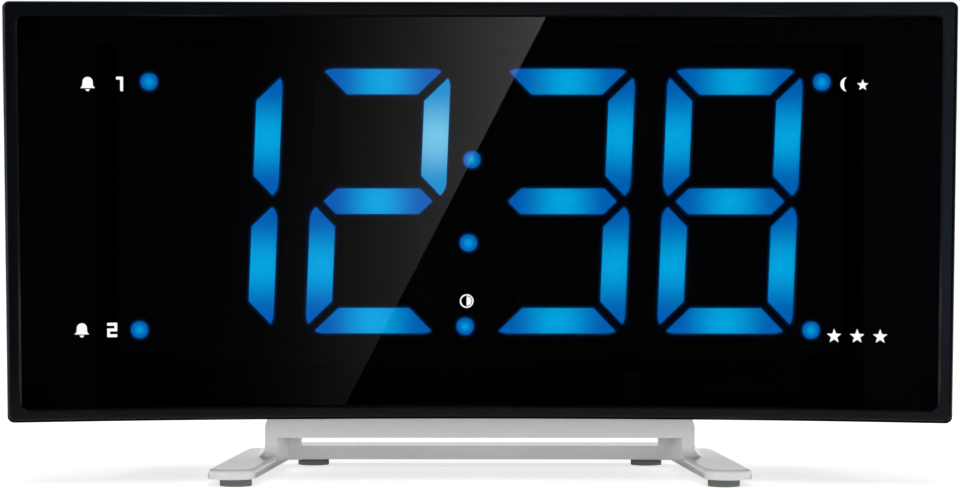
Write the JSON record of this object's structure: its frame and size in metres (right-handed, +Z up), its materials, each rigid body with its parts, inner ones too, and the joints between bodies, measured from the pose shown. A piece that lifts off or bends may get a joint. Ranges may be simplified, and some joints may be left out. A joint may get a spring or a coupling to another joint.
{
  "type": "digital alarm clock",
  "caption": "Digital alarm clock with a wide concave front, dark lens over slanted seven-segment digits, keys and snooze bar on a rear deck, and a low stand with splayed feet.",
  "frame": {"origin": "on the table, under the middle of the stand and of the body's width", "axes": "+X to the right seen from the front, +Y to the rear, +Z up; the display faces -Y"},
  "size_m": [0.1774, 0.0535, 0.0902],
  "materials": {
    "black_gloss_abs": "moulded, polished",
    "dark_lens": "tinted acrylic, polished",
    "black_satin_abs": "moulded, fine texture",
    "zinc_steel": "zinc plated",
    "silver_paint": "silver paint over ABS, satin",
    "grey_rubber": "moulded, matt",
    "reflector_black": "moulded, matt",
    "lit_blue": "blue diffuser, lit",
    "unlit_blue": "blue diffuser, unlit",
    "board_laminate": "glass-epoxy laminate",
    "led_white": "moulded",
    "chip_black": "moulded",
    "bright_steel": "nickel plated",
    "capacitor_can": "drawn can",
    "header_brass": "gold flashed",
    "ferrite": "sintered",
    "cone_paper": "pressed pulp",
    "key_rubber_black": "moulded, fine texture",
    "switch_grey": "moulded"
  },
  "bodies": {
    "clock": {"front_frame": "black_gloss_abs", "front_lens": "dark_lens", "rear_housing": "black_satin_abs", "housing_screws": "zinc_steel", "stand": "silver_paint", "rubber_feet": "grey_rubber", "stand_screws": "zinc_steel", "display_reflector": "reflector_black", "lit_segments": "lit_blue", "unlit_segments": "unlit_blue", "indicator_dots": "lit_blue", "display_board": "board_laminate", "segment_leds": "led_white", "display_screws": "zinc_steel", "main_board": "board_laminate", "key_board": "board_laminate", "board_screws": "zinc_steel", "clock_chip": "chip_black", "radio_chip": "chip_black", "clock_crystal": "bright_steel", "capacitors": "capacitor_can", "pin_header": "header_brass", "power_inlet": "chip_black", "inlet_pin": "bright_steel", "speaker_frame": "zinc_steel", "speaker_magnet": "ferrite", "speaker_cone": "cone_paper", "coin_cell": "bright_steel", "cell_contacts": "bright_steel", "key_switches": "chip_black"},
    "snooze": {"snooze_bar": "key_rubber_black", "snooze_switch_buttons": "switch_grey"},
    "cap": {"cell_cap": "black_satin_abs"},
    "alarm_one": {"alarm_one_key": "key_rubber_black", "alarm_one_switch_button": "switch_grey"},
    "alarm_two": {"alarm_two_key": "key_rubber_black", "alarm_two_switch_button": "switch_grey"},
    "sleep": {"sleep_key": "key_rubber_black", "sleep_switch_button": "switch_grey"},
    "mode": {"mode_key": "key_rubber_black", "mode_switch_button": "switch_grey"},
    "minus": {"minus_key": "key_rubber_black", "minus_switch_button": "switch_grey"},
    "plus": {"plus_key": "key_rubber_black", "plus_switch_button": "switch_grey"}
  },
  "joints": [
    {"name": "snooze_press", "type": "slide", "parent": "clock", "child": "snooze", "axis": [0, 0, -1], "range_m": [0, 0.0007], "stiffness_N_per_m": 2000, "springref_m": -0.0005},
    {"name": "alarm_one_press", "type": "slide", "parent": "clock", "child": "alarm_one", "axis": [0, 0, -1], "range_m": [0, 0.0005], "stiffness_N_per_m": 1600, "springref_m": -0.0004},
    {"name": "alarm_two_press", "type": "slide", "parent": "clock", "child": "alarm_two", "axis": [0, 0, -1], "range_m": [0, 0.0005], "stiffness_N_per_m": 1600, "springref_m": -0.0004},
    {"name": "sleep_press", "type": "slide", "parent": "clock", "child": "sleep", "axis": [0, 0, -1], "range_m": [0, 0.0005], "stiffness_N_per_m": 1600, "springref_m": -0.0004},
    {"name": "mode_press", "type": "slide", "parent": "clock", "child": "mode", "axis": [0, 0, -1], "range_m": [0, 0.0005], "stiffness_N_per_m": 1600, "springref_m": -0.0004},
    {"name": "minus_press", "type": "slide", "parent": "clock", "child": "minus", "axis": [0, 0, -1], "range_m": [0, 0.0005], "stiffness_N_per_m": 1600, "springref_m": -0.0004},
    {"name": "plus_press", "type": "slide", "parent": "clock", "child": "plus", "axis": [0, 0, -1], "range_m": [0, 0.0005], "stiffness_N_per_m": 1600, "springref_m": -0.0004},
    {"name": "cap_turn", "type": "hinge", "parent": "clock", "child": "cap", "pos_m": [-0.044, 0.01875, 0.0417], "axis": [0, 1, 0], "range_deg": [0, 45]}
  ]
}
